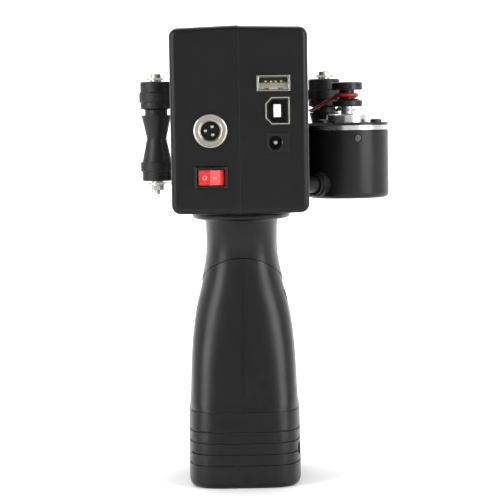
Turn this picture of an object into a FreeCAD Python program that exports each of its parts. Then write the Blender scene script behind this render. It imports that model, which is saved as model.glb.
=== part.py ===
import FreeCAD, Part
import os, math
from FreeCAD import Vector as V

os.makedirs("parts", exist_ok=True)

# ---------------------------------------------------------------- dimensions (mm)
# Frame: +Z up, origin at the centre of the grip's flat base, +Y towards the
# print face, +X to the operator's right when looking at the rear panel.
BOX_HALF_W = 30.75          # head half width
BOX_Z0, BOX_Z1 = 124.5, 208.5
BOX_DROP = 0.75             # top and bottom walls draft away from the seam by this much
SEAM_STEP = 0.3             # left half stands this much above the right at the seam
Y_REAR, Y_FRONT = -46.0, 76.0
WALL = 2.3
REAR_WALL = 2.6
EDGE_R = 4.0                # long edges of the head
REAR_R = 2.8                # rim of the rear panel
FACE_T = 1.5                # stainless front plate
Y_FACE = Y_FRONT + FACE_T

# rear panel items: centre X, Z
USB_A = (15.4, 182.8)
USB_B = (17.0, 170.6)
DC = (17.0, 156.5)
DC_HOLE = (15.95, 156.5)
SOCKET = (-12.9, 162.1)
SOCKET_PINS = ((-12.05, 164.0), (-15.15, 162.2), (-11.85, 160.4))
SWITCH = (-12.9, 141.4)

# guide rollers
ROLL_X, ROLL_Y = 42.5, 72.0
ROLL_Z0, ROLL_Z1 = 137.0, 187.0
AXLE_R = 1.5
AXLE_CLEAR = 0.06
ARM_T = 1.0
ARM_TOP = 187.9             # underside of upper arm
ARM_BOT = 136.2             # top of lower arm

# encoder
ENC_X, ENC_Y = 52.6, 44.0
ENC_R = 20.0
PLATE_TOP, PLATE_T = 164.9, 1.4
ENC_BASE_T = 2.5
ENC_BOTTOM = 128.1
SHAFT_R = 3.0
PULLEY_Z = (172.7, 176.5, 180.8, 184.6)
PULLEY_R, PULLEY_NECK = 7.65, 3.7

# belt
BELT_R = 0.95
BELT_PULLEY_R = 4.95        # belt centreline radius on the pulley
BELT_ROLLER_R = 6.95        # belt centreline radius on the roller
BELT_Z_PULLEY, BELT_Z_ROLLER = 178.3, 171.3

# grip sections: Z, half width, rear Y, front Y, exponent of the rounded-oval plan
NECK_TOP = [
    (124.5, 22.9, -33.0, 31.5, 2.6),
    (123.5, 20.9, -31.4, 30.0, 2.6),
    (122.4, 18.9, -29.9, 28.5, 2.6),
    (121.2, 17.5, -28.6, 27.2, 2.65),
    (119.0, 16.85, -27.1, 25.8, 2.7),
    (115.5, 16.65, -25.4, 24.6, 2.7),
]
GRIP = [
    (112.0, 16.55, -24.4, 23.8, 2.7),
    (104.0, 16.90, -23.9, 23.0, 2.7),
    (97.5, 17.95, -24.2, 22.4, 2.75),
    (90.0, 19.60, -25.0, 21.9, 2.85),
    (82.5, 21.50, -26.0, 21.5, 3.0),
    (75.0, 22.90, -27.2, 21.3, 3.15),
    (67.5, 23.85, -28.5, 21.6, 3.35),
    (60.0, 24.45, -29.8, 22.6, 3.6),
    (52.0, 24.85, -31.2, 24.4, 3.85),
    (43.0, 25.20, -32.8, 27.2, 4.1),
    (34.1, 25.50, -34.4, 30.8, 4.3),
]
BASE = [
    (34.1, 25.70, -34.9, 31.3, 4.3),
    (22.0, 25.80, -36.5, 34.3, 4.5),
    (10.0, 25.85, -37.6, 37.0, 4.7),
    (2.1, 25.85, -38.0, 38.0, 4.8),
]
GROOVES = (25.5, 20.5, 15.4, 10.4)
RELIEF = 0.4                # the palm panel stands this far above the rest of the handle
PANEL_Z0 = 35.9             # panel's lower edge
ARC_Z, ARC_X, ARC_DROP = 103.6, 13.8, 3.2   # parting line between neck and handle, seen from the rear
ARC_SLOPE = 0.217           # it falls towards the front


def save(name, shape):
    shape = shape.removeSplitter() if shape.ShapeType in ("Solid",) else shape
    sols = [s for s in shape.Solids if s.Volume > 1e-3]
    if len(sols) == 1:
        out = sols[0]
    else:
        out = Part.makeCompound(sols)
    bad = [s for s in sols if not s.isValid()]
    print("%-26s solids %2d volume %10.1f %s" % (name, len(sols), sum(s.Volume for s in sols), "INVALID" if bad else ""))
    out.exportStep("parts/%s.step" % name)


def box(x0, x1, y0, y1, z0, z1):
    return Part.makeBox(x1 - x0, y1 - y0, z1 - z0, V(x0, y0, z0))


def cyl(r, p, d, h):
    return Part.makeCylinder(r, h, V(*p), V(*d))


def cone(r1, r2, p, d, h):
    return Part.makeCone(r1, r2, h, V(*p), V(*d))


def fuse(*items):
    s = items[0]
    for i in items[1:]:
        s = s.fuse(i)
    return s.removeSplitter()


def cut(a, *items):
    for i in items:
        a = a.cut(i)
    return a


def comp(*items):
    out = []
    for i in items:
        out += i.Solids
    return Part.makeCompound(out)


def prism(pts, d):
    w = Part.makePolygon([V(*p) for p in pts] + [V(*pts[0])])
    return Part.Face(w).extrude(V(*d))


def edges_along(s, axis, test=None):
    out = []
    for e in s.Edges:
        if len(e.Vertexes) < 2:
            continue
        a, b = e.Vertexes[0].Point, e.Vertexes[-1].Point
        d = b - a
        if d.Length < 1e-6:
            continue
        d = d.normalize()
        if abs(abs(getattr(d, axis)) - 1) < 1e-4 and (test is None or test((a + b) * 0.5)):
            out.append(e)
    return out


def rbox(x0, x1, y0, y1, z0, z1, r, axis):
    s = box(x0, x1, y0, y1, z0, z1)
    return s.makeFillet(r, edges_along(s, axis))


def revolve(pts, x, y):
    w = Part.makePolygon([V(x + r, y, z) for r, z in pts] + [V(x + pts[0][0], y, pts[0][1])])
    return Part.Face(w).revolve(V(x, y, 0), V(0, 0, 1), 360)


def ring(ro, ri, p, d, h):
    return cyl(ro, p, d, h).cut(cyl(ri, [p[i] - d[i] for i in range(3)], d, h + 2))


def hexagon(af, p, h):
    r = af / math.sqrt(3)
    pts = [(p[0] + r * math.cos(math.radians(60 * k)), p[1] + r * math.sin(math.radians(60 * k)), p[2]) for k in range(6)]
    return prism(pts, (0, 0, h))


def fillet_try(s, rs, edges):
    for r in rs:
        try:
            t = s.makeFillet(r, edges)
            if t.isValid() and t.Volume > 0:
                return t
        except Exception:
            pass
    print("   fillet skipped")
    return s


def pan_screw(r_head, h_head, r, length, p, d, recess=True):
    """Pan head at p pointing along -d; shank runs from p along d."""
    dv = V(*d)
    n = V(-d[0], -d[1], -d[2])
    head = Part.makeCylinder(r_head, h_head, V(*p), n)
    head = fillet_try(head, (h_head * 0.55, h_head * 0.3), [e for e in head.Edges if len(e.Vertexes) == 1 and abs((e.CenterOfMass - V(*p)).dot(n) - h_head) < 1e-4])
    shank = Part.makeCylinder(r, length, V(*p), dv)
    s = head.fuse(shank).removeSplitter()
    if recess:
        top = V(*p) + n * h_head
        a = dv.cross(V(0, 0, 1))
        if a.Length < 0.1:
            a = V(1, 0, 0)
        a = a.normalize()
        b = dv.cross(a).normalize()
        w, l, dep = r_head * 0.2, r_head * 0.55, h_head * 0.45
        for u, v in ((a, b), (b, a)):
            c = [top + u * (l * i) + v * (w * 0.5 * j) for i, j in ((-1, -1), (1, -1), (1, 1), (-1, 1))]
            c = [q + n * 0.5 for q in c]
            f = Part.Face(Part.makePolygon(c + [c[0]]))
            s = s.cut(f.extrude(dv * (dep + 0.5)))
    return s


# ---------------------------------------------------------------- head shells
def head_outer(step=0.0, grow=0.0, fillets=True):
    w, z0, z1, d = BOX_HALF_W + grow, BOX_Z0 - grow, BOX_Z1 + grow, BOX_DROP
    y0 = Y_REAR - grow
    pts = [(0, y0, z1 + step), (-w, y0, z1 - d), (-w, y0, z0 + d), (0, y0, z0), (w, y0, z0 + d), (w, y0, z1 - d)]
    s = prism(pts, (0, Y_FRONT - y0, 0))
    if fillets:
        s = fillet_try(s, (EDGE_R,), edges_along(s, "y", lambda m: abs(m.x) > 5))
        rim = [e for e in s.Edges if all(abs(v.Point.y - y0) < 1e-6 for v in e.Vertexes)]
        s = fillet_try(s, (REAR_R, 2.0, 1.5), rim)
    return s


outer_l = head_outer(SEAM_STEP)
outer_r = head_outer(0.0)
w = BOX_HALF_W - WALL
inner = prism([(0, Y_REAR + REAR_WALL, BOX_Z1 - WALL), (-w, Y_REAR + REAR_WALL, BOX_Z1 - WALL - BOX_DROP),
               (-w, Y_REAR + REAR_WALL, BOX_Z0 + WALL + BOX_DROP), (0, Y_REAR + REAR_WALL, BOX_Z0 + WALL),
               (w, Y_REAR + REAR_WALL, BOX_Z0 + WALL + BOX_DROP), (w, Y_REAR + REAR_WALL, BOX_Z1 - WALL - BOX_DROP)],
              (0, Y_FRONT - Y_REAR, 0))
inner = fillet_try(inner, (1.8,), edges_along(inner, "y", lambda m: abs(m.x) > 5))

SCREWS = ((-37.0, 131.8), (-37.0, 201.6), (50.0, 203.4), (50.0, 128.5))
left = outer_l.cut(inner).common(box(-60, 0, -80, 100, 80, 230))
right = outer_r.cut(inner).common(box(0, 60, -80, 100, 80, 230))
for y, z in SCREWS:
    left = left.fuse(cyl(3.3, (-BOX_HALF_W + 1.5, y, z), (1, 0, 0), BOX_HALF_W - 1.5))
    right = right.fuse(cyl(3.3, (0, y, z), (1, 0, 0), BOX_HALF_W - 1.5))
    left = left.cut(cyl(1.25, (-12, y, z), (1, 0, 0), 20))
    right = right.cut(cyl(1.6, (-1, y, z), (1, 0, 0), 60))
    right = right.cut(cyl(3.0, (BOX_HALF_W - 4.0, y, z), (1, 0, 0), 10))
    right = right.cut(cyl(3.0, (BOX_HALF_W - 4.0, y, z), (1, 0, 0), 10))
# trim bosses that would stand outside the walls
left = left.common(outer_l)
right = right.common(outer_r)

# rear panel cut-outs
usb_a_hole = box(USB_A[0] - 6.75, USB_A[0] + 6.75, -60, -40, USB_A[1] - 3.0, USB_A[1] + 3.0)
usb_b_pts = [(USB_B[0] - 2.6, -60, USB_B[1] - 5.9), (USB_B[0] + 5.25, -60, USB_B[1] - 5.9), (USB_B[0] + 5.25, -60, USB_B[1] + 5.9),
             (USB_B[0] - 2.6, -60, USB_B[1] + 5.9), (USB_B[0] - 5.25, -60, USB_B[1] + 3.1), (USB_B[0] - 5.25, -60, USB_B[1] - 3.1)]
usb_b_hole = prism(usb_b_pts, (0, 20, 0))
dc_hole = box(DC[0] - 5.3, DC[0] + 5.3, -60, -40, DC[1] - 4.35, DC[1] + 4.35)
socket_hole = cyl(6.0, (SOCKET[0], -60, SOCKET[1]), (0, 1, 0), 20)
switch_hole = box(SWITCH[0] - 6.9, SWITCH[0] + 6.9, -60, -40, SWITCH[1] - 4.5, SWITCH[1] + 4.5)
right = cut(right, usb_a_hole, usb_b_hole, dc_hole)
left = cut(left, socket_hole, switch_hole)

# screen recess in the left wall and its window
SCR = (-38.0, 60.0, 136.0, 199.0)
recess = rbox(-BOX_HALF_W - 1, -BOX_HALF_W + 1.0, SCR[0], SCR[1], SCR[2], SCR[3], 3.0, "x")
window = box(-BOX_HALF_W - 1, -20, SCR[0] + 3, SCR[1] - 3, SCR[2] + 3, SCR[3] - 3)
left = cut(left, recess, window)

# oblique lead entry in the right wall
S45 = math.sqrt(0.5)
GL_DIR = (-S45, -S45, 0)
GL_Z = 135.2


def on_gland(r):
    return (ENC_X - S45 * r, ENC_Y - S45 * r, GL_Z)


grom_cyl = cyl(5.3, on_gland(24), GL_DIR, 14)
right = right.cut(grom_cyl)
# cable way from the head down into the grip, and the flange screws' holes
cable_way = cyl(6.0, (0, 0, 110), (0, 0, 1), 20)
FLANGE_SCREWS = [(sx * 9.5, sy * 15.5) for sx in (-1, 1) for sy in (-1, 1)]
left = left.cut(cable_way)
right = right.cut(cable_way)
for x, y in FLANGE_SCREWS:
    h = cyl(1.6, (x, y, 110), (0, 0, 1), 20)
    left = left.cut(h)
    right = right.cut(h)
# pilot holes for side brackets and the front plate
BR_SCREWS = [(68.0, 146.0), (68.0, 178.0)]
FP_SCREWS = [(-27.0, 128.9), (27.0, 128.9), (-27.0, 204.1), (27.0, 204.1)]
for y, z in BR_SCREWS:
    left = left.cut(cyl(1.25, (-40, y, z), (1, 0, 0), 14))
    right = right.cut(cyl(1.25, (26, y, z), (1, 0, 0), 14))
for x, z in FP_SCREWS:
    post = box(x - 2.6, x + 2.6, Y_FRONT - 9, Y_FRONT, z - 2.6, z + 2.6)
    hole = cyl(1.25, (x, Y_FRONT - 8, z), (0, 1, 0), 10)
    if x < 0:
        left = left.fuse(post.common(outer_l)).cut(hole)
    else:
        right = right.fuse(post.common(outer_r)).cut(hole)
EP_SCREWS = [(33.0, 171.0), (52.0, 171.0)]
for y, z in EP_SCREWS:
    right = right.cut(cyl(1.25, (26, y, z), (1, 0, 0), 14))
skin = prism([(0.0, Y_REAR + 0.25, BOX_Z1 - 0.25), (-40, Y_REAR + 0.25, BOX_Z1 - 0.25), (-40, Y_REAR + 0.25, BOX_Z0 + 0.25), (40, Y_REAR + 0.25, BOX_Z0 + 0.25),
              (40, Y_REAR + 0.25, BOX_Z1 - 0.25)], (0, 140, 0))
seam = box(-0.12, 0.12, -60, Y_FRONT + 1, 100, 230).cut(skin)
left = left.removeSplitter().cut(seam)
right = right.removeSplitter().cut(seam)
save("left_shell", left)
save("right_shell", right)
save("shell_screws", comp(*[pan_screw(2.75, 2.0, 1.25, 34.0, (BOX_HALF_W - 4.0, y, z), (-1, 0, 0)) for y, z in SCREWS]))

# ---------------------------------------------------------------- front plate
CART = (-14.5, 14.5, -4.0, 77.9, 134.0, 198.0)   # x0 x1 y0 y1 z0 z1
fp_pts = [(0, Y_FRONT, BOX_Z1), (-BOX_HALF_W, Y_FRONT, BOX_Z1 - BOX_DROP), (-BOX_HALF_W, Y_FRONT, BOX_Z0 + BOX_DROP),
          (0, Y_FRONT, BOX_Z0), (BOX_HALF_W, Y_FRONT, BOX_Z0 + BOX_DROP), (BOX_HALF_W, Y_FRONT, BOX_Z1 - BOX_DROP)]
front_plate = prism(fp_pts, (0, FACE_T, 0))
front_plate = front_plate.makeFillet(EDGE_R, edges_along(front_plate, "y", lambda m: abs(m.x) > 5))
opening = rbox(CART[0] - 0.8, CART[1] + 0.8, 70, 90, CART[4] - 0.8, CART[5] + 0.8, 1.0, "y")
front_plate = front_plate.cut(opening)
for x, z in FP_SCREWS:
    front_plate = front_plate.cut(cyl(1.6, (x, 60, z), (0, 1, 0), 30))
LP = (Y_FACE + 1.5, 204.8)         # latch pivot Y, Z
for s_ in (-1, 1):
    ear = box(9.5, 11.2, Y_FACE - 0.2, LP[0], LP[1] - 1.3, LP[1] + 1.3).fuse(cyl(1.3, (9.5, LP[0], LP[1]), (1, 0, 0), 1.7))
    ear = ear.cut(cyl(0.7, (0, LP[0], LP[1]), (1, 0, 0), 20))
    front_plate = front_plate.fuse(ear if s_ > 0 else ear.mirror(V(0, 0, 0), V(1, 0, 0)))
front_plate = front_plate.removeSplitter()
save("front_plate", front_plate)
m3 = [pan_screw(2.3, 1.3, 1.25, 6.0, (x, Y_FACE, z), (0, -1, 0)) for x, z in FP_SCREWS]

# ---------------------------------------------------------------- roller brackets
def bracket(sx):
    xw = BOX_HALF_W
    x_tip = ROLL_X

    def arm(z0):
        a = box(xw, x_tip, ROLL_Y - 5.0, ROLL_Y + 5.0, z0, z0 + ARM_T)
        a = a.fuse(cyl(5.0, (x_tip, ROLL_Y, z0), (0, 0, 1), ARM_T))
        wedge = prism([(xw, ROLL_Y - 10, z0), (x_tip - 4, ROLL_Y - 5.0, z0), (xw, ROLL_Y - 5.0, z0)], (0, 0, ARM_T))
        return a.fuse(wedge)
    web = box(xw, xw + ARM_T, ROLL_Y - 10, ROLL_Y + 5.0, ARM_BOT - ARM_T, ARM_TOP + ARM_T)
    b = web.fuse(arm(ARM_TOP)).fuse(arm(ARM_BOT - ARM_T)).removeSplitter()
    b = b.cut(cyl(AXLE_R + 0.1, (ROLL_X, ROLL_Y, 100), (0, 0, 1), 120))
    for y, z in BR_SCREWS:
        b = b.cut(cyl(1.6, (20, y, z), (1, 0, 0), 20))
    outer_e = edges_along(b, "y", lambda m: abs(m.x - xw) < 1e-6 and (abs(m.z - ARM_TOP - ARM_T) < 1e-6 or abs(m.z - ARM_BOT + ARM_T) < 1e-6))
    b = fillet_try(b, (0.9,), outer_e)
    if sx < 0:
        b = b.mirror(V(0, 0, 0), V(1, 0, 0))
    return b


save("right_bracket", bracket(1))
save("left_bracket", bracket(-1))
for s in (-1, 1):
    for y, z in BR_SCREWS:
        m3.append(pan_screw(2.3, 1.3, 1.25, 6.0, (s * (BOX_HALF_W + ARM_T), y, z), (-s, 0, 0)))

# ---------------------------------------------------------------- rollers
Z = ROLL_Z1
CORE = [(AXLE_R + AXLE_CLEAR, Z), (7.5, Z), (7.9, Z - 0.4), (7.9, Z - 5.3), (6.6, Z - 5.3), (6.6, Z - 10.5), (7.9, Z - 10.5),
        (7.9, Z - 13.4), (5.7, Z - 14.2), (5.7, Z - 16.8), (7.55, Z - 16.8), (5.0, Z - 28.5), (7.4, Z - 40.2), (6.6, Z - 40.2),
        (6.6, Z - 45.3), (7.5, Z - 45.3), (7.5, Z - 49.6), (7.1, Z - 50.0), (AXLE_R + AXLE_CLEAR, Z - 50.0)]


def roller(x):
    core = revolve(CORE, x, ROLL_Y)

    def tyre(z0, z1, r):
        t = revolve([(6.6, z0), (r - 0.5, z0), (r, z0 + 0.5), (r, z1 - 0.5), (r - 0.5, z1), (6.6, z1)], x, ROLL_Y)
        return t
    rings = comp(tyre(Z - 10.5, Z - 5.3, 8.5), tyre(Z - 45.3, Z - 40.2, 8.3))
    return core, rings


for side, x in (("left", -ROLL_X), ("right", ROLL_X)):
    core, rings = roller(x)
    save(side + "_roller_core", core)
    save(side + "_roller_rings", rings)

ax, wa, nu = [], [], []
for s in (-1, 1):
    x = s * ROLL_X
    ax.append(pan_screw(2.8, 2.4, AXLE_R, 58.6, (x, ROLL_Y, ARM_TOP + ARM_T), (0, 0, -1)))
    wa.append(ring(3.0, AXLE_R, (x, ROLL_Y, ROLL_Z1 + 0.2), (0, 0, 1), ARM_TOP - ROLL_Z1 - 0.2))
    wa.append(ring(3.0, AXLE_R, (x, ROLL_Y, ARM_BOT), (0, 0, 1), ROLL_Z0 - ARM_BOT - 0.2))
    zb = ARM_BOT - ARM_T
    wa.append(ring(3.5, AXLE_R, (x, ROLL_Y, zb - 0.5), (0, 0, 1), 0.5))
    n = hexagon(5.5, (x, ROLL_Y, zb - 2.9), 2.4).cut(cyl(AXLE_R, (x, ROLL_Y, 100), (0, 0, 1), 100))
    nu.append(n)
save("axle_screws", comp(*ax))
save("axle_washers", comp(*wa))
save("axle_nuts", comp(*nu))

# ---------------------------------------------------------------- encoder
plate = box(BOX_HALF_W, ENC_X, 24.0, 61.0, PLATE_TOP - PLATE_T, PLATE_TOP)
plate = plate.fuse(cyl(ENC_R - 0.1, (ENC_X, ENC_Y, PLATE_TOP - PLATE_T), (0, 0, 1), PLATE_T))
flange = rbox(BOX_HALF_W, BOX_HALF_W + 1.2, 28.0, 57.0, PLATE_TOP - PLATE_T, 175.5, 2.5, "x")
flange = flange.fuse(box(BOX_HALF_W, BOX_HALF_W + 1.2, 28.0, 57.0, PLATE_TOP - PLATE_T, 169.0))
plate = plate.fuse(flange).removeSplitter()
plate = plate.cut(cyl(10.05, (ENC_X, ENC_Y, 150), (0, 0, 1), 30))
MS_ANG = (-25.0, 95.0, 215.0)
MS = [(ENC_X + 15 * math.cos(math.radians(a)), ENC_Y + 15 * math.sin(math.radians(a))) for a in MS_ANG]
for x, y in MS:
    plate = plate.cut(cyl(1.7, (x, y, 150), (0, 0, 1), 30))
for y, z in EP_SCREWS:
    plate = plate.cut(cyl(1.6, (20, y, z), (1, 0, 0), 20))
save("encoder_plate", plate)
m3 += [pan_screw(2.3, 1.3, 1.25, 6.0, (BOX_HALF_W + 1.2, y, z), (-1, 0, 0)) for y, z in EP_SCREWS]

zf = PLATE_TOP - PLATE_T        # underside of plate
z1 = zf - ENC_BASE_T
base = revolve([(6.5, z1 - 8), (17.6, z1 - 8), (17.6, z1), (ENC_R - 0.3, z1), (ENC_R, z1 + 0.3), (ENC_R, zf), (10.0, zf),
                (10.0, 168.6), (9.6, 168.9), (4.0, 168.9), (4.0, 168.0), (6.5, 168.0)], ENC_X, ENC_Y)
for x, y in MS:
    base = base.cut(cyl(1.3, (x, y, z1 - 5), (0, 0, 1), 12))
CS_ANG = (-78.8, 41.2, 161.2)
cs = []
for a in CS_ANG:
    dx, dy = math.cos(math.radians(a)), math.sin(math.radians(a))
    base = base.cut(cyl(0.9, (ENC_X + dx * 13.4, ENC_Y + dy * 13.4, 157.3), (dx, dy, 0), 8))
    cs.append(pan_screw(1.7, 0.75, 0.9, 5.5, (ENC_X + dx * 19.3, ENC_Y + dy * 19.3, 157.3), (-dx, -dy, 0)))
save("encoder_base", base)
save("encoder_cover_screws", comp(*cs))
cover = revolve([(0, ENC_BOTTOM), (ENC_R - 2.4, ENC_BOTTOM), (ENC_R - 1.2, ENC_BOTTOM + 0.35), (ENC_R - 0.35, ENC_BOTTOM + 1.2), (ENC_R, ENC_BOTTOM + 2.4), (ENC_R, z1),
                 (17.8, z1), (17.8, ENC_BOTTOM + 2.0), (0, ENC_BOTTOM + 2.0)], ENC_X, ENC_Y)
for a in CS_ANG:
    dx, dy = math.cos(math.radians(a)), math.sin(math.radians(a))
    cover = cover.cut(cyl(1.0, (ENC_X + dx * 13, ENC_Y + dy * 13, 157.3), (dx, dy, 0), 12))
    cover = cover.cut(cyl(1.9, (ENC_X + dx * 19.3, ENC_Y + dy * 19.3, 157.3), (dx, dy, 0), 3))
cover = cover.cut(cyl(4.2, on_gland(14), GL_DIR, 12))
save("encoder_cover", cover)
save("encoder_mount_screws", comp(*[pan_screw(2.8, 1.6, 1.3, 5.5, (x, y, PLATE_TOP), (0, 0, -1)) for x, y in MS]))
save("encoder_bearings", comp(*[ring(6.5, SHAFT_R + 0.05, (ENC_X, ENC_Y, zz), (0, 0, 1), 4.0) for zz in (153.2, 163.9)]))
ft = cyl(SHAFT_R, (ENC_X, ENC_Y, 146.0), (0, 0, 1), PULLEY_Z[3] - 146.0)
flat = box(ENC_X + SHAFT_R - 0.5, ENC_X + 5, ENC_Y - 4, ENC_Y + 4, 170.5, 190)
shaft = ft.cut(flat)
save("encoder_shaft", shaft)
pz = PULLEY_Z
pulley = revolve([(0, pz[0]), (PULLEY_R - 0.4, pz[0]), (PULLEY_R, pz[0] + 0.4), (PULLEY_R, pz[1] - 1.0), (PULLEY_R - 2.15, pz[1]), (PULLEY_NECK, pz[1]), (PULLEY_NECK, pz[2]),
                  (PULLEY_R, pz[2]), (PULLEY_R, pz[3] - 0.4), (PULLEY_R - 0.4, pz[3]), (0, pz[3])], ENC_X, ENC_Y)
ss = cyl(1.25, (ENC_X - SHAFT_R, ENC_Y, 174.6), (-1, 0, 0), 3.6).cut(cyl(0.65, (ENC_X - SHAFT_R - 2.0, ENC_Y, 174.6), (-1, 0, 0), 3))
pulley = pulley.cut(shaft).cut(cyl(1.25, (ENC_X, ENC_Y, 174.6), (-1, 0, 0), 9).cut(shaft))
save("encoder_pulley", pulley)
save("pulley_set_screw", ss.cut(shaft))
disc = ring(14.0, SHAFT_R, (ENC_X, ENC_Y, 147.5), (0, 0, 1), 1.0)
save("encoder_disc", disc)
board = ring(16.0, 4.0, (ENC_X, ENC_Y, 141.0), (0, 0, 1), 1.6)
head = box(ENC_X + 5.5, ENC_X + 14, ENC_Y - 4, ENC_Y + 4, 142.6, 146.6)
save("encoder_board", board.fuse(head).removeSplitter())

# gland, lead and grommet
gl = cyl(5.75, on_gland(18.0), GL_DIR, 5.0)
gl = fillet_try(gl, (0.5,), [e for e in gl.Edges if len(e.Vertexes) == 1])
gl = gl.fuse(cyl(4.2, on_gland(16.2), GL_DIR, 3)).fuse(cyl(5.0, on_gland(22.9), GL_DIR, 1.7)).removeSplitter()
gl = gl.cut(revolve([(0, 120), (ENC_R + 0.0, 120), (ENC_R + 0.0, 150), (0, 150)], ENC_X, ENC_Y).cut(cyl(4.2, on_gland(14), GL_DIR, 12)))
gl = gl.cut(cyl(3.0, on_gland(15), GL_DIR, 14))
save("cable_gland", gl)
lead = cyl(3.0, on_gland(16.4), GL_DIR, 9.0).fuse(cyl(3.9, on_gland(24.6), GL_DIR, 13.4)).removeSplitter()
save("encoder_lead", lead)
grom = cyl(5.3, on_gland(24), GL_DIR, 14).cut(cyl(3.9, on_gland(22), GL_DIR, 20)).common(box(BOX_HALF_W - 2.8, BOX_HALF_W + 0.4, 0, 40, 120, 150))
save("lead_grommet", grom)

# ---------------------------------------------------------------- drive belt
def tube_arc(cx, cy, z, rad, a0, a1):
    """Round bar bent about a vertical axis from angle a0 to a1 (radians)."""
    p = V(cx + rad * math.cos(a0), cy + rad * math.sin(a0), z)
    t = V(-math.sin(a0), math.cos(a0), 0)
    f = Part.Face(Part.Wire([Part.makeCircle(BELT_R, p, t)]))
    return f.revolve(V(cx, cy, z), V(0, 0, 1), math.degrees(a1 - a0))


def belt():
    bx, by = ROLL_X, ROLL_Y
    length = math.hypot(bx - ENC_X, by - ENC_Y)
    ang = math.atan2(by - ENC_Y, bx - ENC_X)
    r1, r2 = BELT_PULLEY_R, BELT_ROLLER_R
    phi = math.acos((r1 - r2) / length)
    out = tube_arc(ENC_X, ENC_Y, BELT_Z_PULLEY, r1, ang + phi, ang + 2 * math.pi - phi)
    out = out.fuse(tube_arc(bx, by, BELT_Z_ROLLER, r2, ang - phi, ang + phi))
    for sgn in (1, -1):
        a = ang + sgn * phi
        p = V(ENC_X + r1 * math.cos(a), ENC_Y + r1 * math.sin(a), BELT_Z_PULLEY)
        q = V(bx + r2 * math.cos(a), by + r2 * math.sin(a), BELT_Z_ROLLER)
        out = out.fuse(Part.makeCylinder(BELT_R, (q - p).Length, p, q - p))
        out = out.fuse(Part.makeSphere(BELT_R, p)).fuse(Part.makeSphere(BELT_R, q))
    return out


save("drive_belt", belt())

# ---------------------------------------------------------------- rear connectors
# USB-A receptacle
def rect_tube(cx, cz, wo, ho, t, y0, y1, back=0.4):
    o = rbox(cx - wo / 2, cx + wo / 2, y0, y1, cz - ho / 2, cz + ho / 2, 0.8, "y")
    i = rbox(cx - wo / 2 + t, cx + wo / 2 - t, y0 - 1, y1 - back, cz - ho / 2 + t, cz + ho / 2 - t, 0.5, "y")
    return o.cut(i)


ua = rect_tube(USB_A[0], USB_A[1], 13.5, 6.0, 0.35, -46.3, -31.0)
wo, ho = 14.7, 6.9
lip = Part.makeLoft([
    Part.makePolygon([V(USB_A[0] + sx * wo / 2, -47.0, USB_A[1] + sz * ho / 2) for sx, sz in ((-1, -1), (1, -1), (1, 1), (-1, 1), (-1, -1))]),
    Part.makePolygon([V(USB_A[0] + sx * 13.5 / 2, -46.1, USB_A[1] + sz * 6.0 / 2) for sx, sz in ((-1, -1), (1, -1), (1, 1), (-1, 1), (-1, -1))])], True)
lip_in = Part.makeLoft([
    Part.makePolygon([V(USB_A[0] + sx * (wo / 2 - 0.3), -47.05, USB_A[1] + sz * (ho / 2 - 0.3)) for sx, sz in ((-1, -1), (1, -1), (1, 1), (-1, 1), (-1, -1))]),
    Part.makePolygon([V(USB_A[0] + sx * (13.5 / 2 - 0.35), -46.05, USB_A[1] + sz * (6.0 / 2 - 0.35)) for sx, sz in ((-1, -1), (1, -1), (1, 1), (-1, 1), (-1, -1))])], True)
ua = ua.fuse(lip.cut(lip_in)).cut(box(USB_A[0] - 6.4, USB_A[0] + 6.4, -46.6, -45.5, USB_A[1] - 2.65, USB_A[1] + 2.65)).removeSplitter()
save("usb_a_shell", ua)
tongue = box(USB_A[0] - 5.6, USB_A[0] + 5.6, -45.6, -31.4, USB_A[1] + 0.5, USB_A[1] + 2.2)
save("usb_a_tongue", tongue)

# USB-B receptacle
def usbb(grow, y0, y1):
    x0, x1, z = USB_B[0] - 5.25 + grow, USB_B[0] + 5.25 - grow, 5.9 - grow
    pts = [(USB_B[0] - 2.6 + grow * 0.4, y0, USB_B[1] - z), (x1, y0, USB_B[1] - z), (x1, y0, USB_B[1] + z), (USB_B[0] - 2.6 + grow * 0.4, y0, USB_B[1] + z),
           (x0, y0, USB_B[1] + 3.1 - grow * 0.4), (x0, y0, USB_B[1] - 3.1 + grow * 0.4)]
    return prism(pts, (0, y1 - y0, 0))


ub = usbb(0, -46.7, -30.0).cut(usbb(0.4, -48, -30.4))
rim = usbb(-0.15, -46.8, -46.0).cut(usbb(0.4, -48, -30.4))
save("usb_b_shell", ub.fuse(rim).removeSplitter())
save("usb_b_tongue", box(USB_B[0] - 1.7, USB_B[0] + 1.5, -45.6, -30.4, USB_B[1] - 2.8, USB_B[1] + 2.8))

# DC power jack
dcb = rbox(DC[0] - 5.3, DC[0] + 5.3, -46.5, -33.0, DC[1] - 4.35, DC[1] + 4.35, 0.5, "y")
dcb = dcb.cut(cyl(3.0, (DC_HOLE[0], -48, DC_HOLE[1]), (0, 1, 0), 11.5))
dcb = dcb.cut(cone(3.4, 3.0, (DC_HOLE[0], -46.51, DC_HOLE[1]), (0, 1, 0), 0.4))
save("dc_jack_body", dcb.removeSplitter())
pin = cyl(1.0, (DC_HOLE[0], -44.6, DC_HOLE[1]), (0, 1, 0), 8.1)
pin = fillet_try(pin, (0.5,), [e for e in pin.Edges if len(e.Vertexes) == 1 and e.CenterOfMass.y < -44])
save("dc_jack_pin", pin)

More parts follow.
